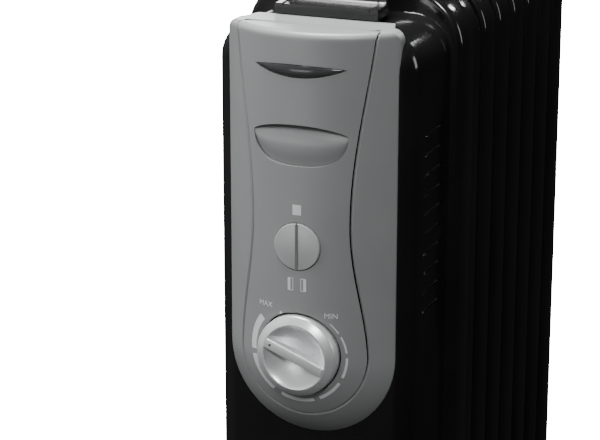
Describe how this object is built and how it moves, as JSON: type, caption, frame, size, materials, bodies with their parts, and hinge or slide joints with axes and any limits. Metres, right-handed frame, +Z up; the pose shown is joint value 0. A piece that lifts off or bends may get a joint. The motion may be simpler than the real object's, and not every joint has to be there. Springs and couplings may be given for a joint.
{
  "type": "oil filled radiator heater",
  "caption": "Upright oil filled radiator on swivel castors, with flat wide-rimmed sections, a louvred control box, grey fascia, thermostat knob, twin rocker switch and carrying handle.",
  "frame": {"origin": "middle of the footprint, on the floor under the castors", "axes": "+X to the right seen from the front, -Y towards the user at the control panel, +Z up"},
  "size_m": [0.236, 0.3816, 0.6687],
  "materials": {
    "black_paint": "gloss black stoved paint with a fine orange peel",
    "grey_plastic": "mid-grey moulded plastic, satin",
    "key_plastic": "light grey moulded plastic, satin",
    "silver_plastic": "satin silver metallised plastic",
    "smoked_lens": "smoked clear plastic, polished",
    "lamp_glass": "clear neon lamp glass",
    "black_plastic": "black moulded plastic",
    "ivory_plastic": "ivory moulded plastic",
    "zinc_steel": "zinc plated steel",
    "brass": "machined brass",
    "rubber": "soft matt black rubber",
    "wheel_plastic": "hard black wheel plastic"
  },
  "bodies": {
    "root": {"fin_1": "black_paint", "fin_2": "black_paint", "fin_3": "black_paint", "fin_4": "black_paint", "fin_5": "black_paint", "fin_6": "black_paint", "fin_7": "black_paint", "front_cover": "black_paint", "mounting_plate": "zinc_steel", "fascia": "grey_plastic", "control_panel": "grey_plastic", "indicator_lens": "smoked_lens", "lamp_left": "lamp_glass", "lamp_right": "lamp_glass", "lamp_holder": "black_plastic", "switch_body": "black_plastic", "rocker_pin": "zinc_steel", "thermostat": "zinc_steel", "control_bracket": "zinc_steel", "thermal_cutout": "black_plastic", "terminal_block": "ivory_plastic", "terminal_bracket": "zinc_steel", "heating_element": "zinc_steel", "element_flange": "brass", "filler_plug": "brass", "rear_plug_top": "black_paint", "rear_plug_bottom": "black_paint", "handle": "black_plastic", "grip_liner": "rubber", "cord_gland": "black_plastic", "castor_plate_front": "black_paint", "u_bolt_front": "zinc_steel", "wing_nut_front_left": "zinc_steel", "wing_nut_front_right": "zinc_steel", "castor_plate_rear": "black_paint", "u_bolt_rear": "zinc_steel", "wing_nut_rear_left": "zinc_steel", "wing_nut_rear_right": "zinc_steel"},
    "knob": {"control_knob": "silver_plastic", "thermostat_shaft": "zinc_steel"},
    "key_left": {"rocker_left": "key_plastic"},
    "key_right": {"rocker_right": "key_plastic"},
    "castor_front_left": {"castor_fork_front_left": "black_plastic", "castor_axle_front_left": "zinc_steel"},
    "wheel_front_left": {"castor_wheel_front_left": "wheel_plastic"},
    "castor_front_right": {"castor_fork_front_right": "black_plastic", "castor_axle_front_right": "zinc_steel"},
    "wheel_front_right": {"castor_wheel_front_right": "wheel_plastic"},
    "castor_rear_left": {"castor_fork_rear_left": "black_plastic", "castor_axle_rear_left": "zinc_steel"},
    "wheel_rear_left": {"castor_wheel_rear_left": "wheel_plastic"},
    "castor_rear_right": {"castor_fork_rear_right": "black_plastic", "castor_axle_rear_right": "zinc_steel"},
    "wheel_rear_right": {"castor_wheel_rear_right": "wheel_plastic"}
  },
  "joints": [
    {"name": "knob_turn", "type": "hinge", "parent": "root", "child": "knob", "pos_m": [0, -0.184, 0.377], "axis": [0, -1, 0], "range_deg": [-18.5, 248.5]},
    {"name": "key_left_rock", "type": "hinge", "parent": "root", "child": "key_left", "pos_m": [-0.008, -0.1808, 0.4576], "axis": [1, 0, 0], "range_deg": [0, 6]},
    {"name": "key_right_rock", "type": "hinge", "parent": "root", "child": "key_right", "pos_m": [0.008, -0.1808, 0.4576], "axis": [1, 0, 0], "range_deg": [0, 6]},
    {"name": "swivel_front_left", "type": "hinge", "parent": "root", "child": "castor_front_left", "pos_m": [-0.105, -0.02725, 0.0432], "axis": [0, 0, 1], "continuous": true},
    {"name": "roll_front_left", "type": "hinge", "parent": "castor_front_left", "child": "wheel_front_left", "pos_m": [-0.105, -0.01825, 0.017], "axis": [1, 0, 0], "continuous": true},
    {"name": "swivel_front_right", "type": "hinge", "parent": "root", "child": "castor_front_right", "pos_m": [0.105, -0.02725, 0.0432], "axis": [0, 0, 1], "continuous": true},
    {"name": "roll_front_right", "type": "hinge", "parent": "castor_front_right", "child": "wheel_front_right", "pos_m": [0.105, -0.01825, 0.017], "axis": [1, 0, 0], "continuous": true},
    {"name": "swivel_rear_left", "type": "hinge", "parent": "root", "child": "castor_rear_left", "pos_m": [-0.105, 0.14925, 0.0432], "axis": [0, 0, 1], "continuous": true},
    {"name": "roll_rear_left", "type": "hinge", "parent": "castor_rear_left", "child": "wheel_rear_left", "pos_m": [-0.105, 0.15825, 0.017], "axis": [1, 0, 0], "continuous": true},
    {"name": "swivel_rear_right", "type": "hinge", "parent": "root", "child": "castor_rear_right", "pos_m": [0.105, 0.14925, 0.0432], "axis": [0, 0, 1], "continuous": true},
    {"name": "roll_rear_right", "type": "hinge", "parent": "castor_rear_right", "child": "wheel_rear_right", "pos_m": [0.105, 0.15825, 0.017], "axis": [1, 0, 0], "continuous": true}
  ]
}
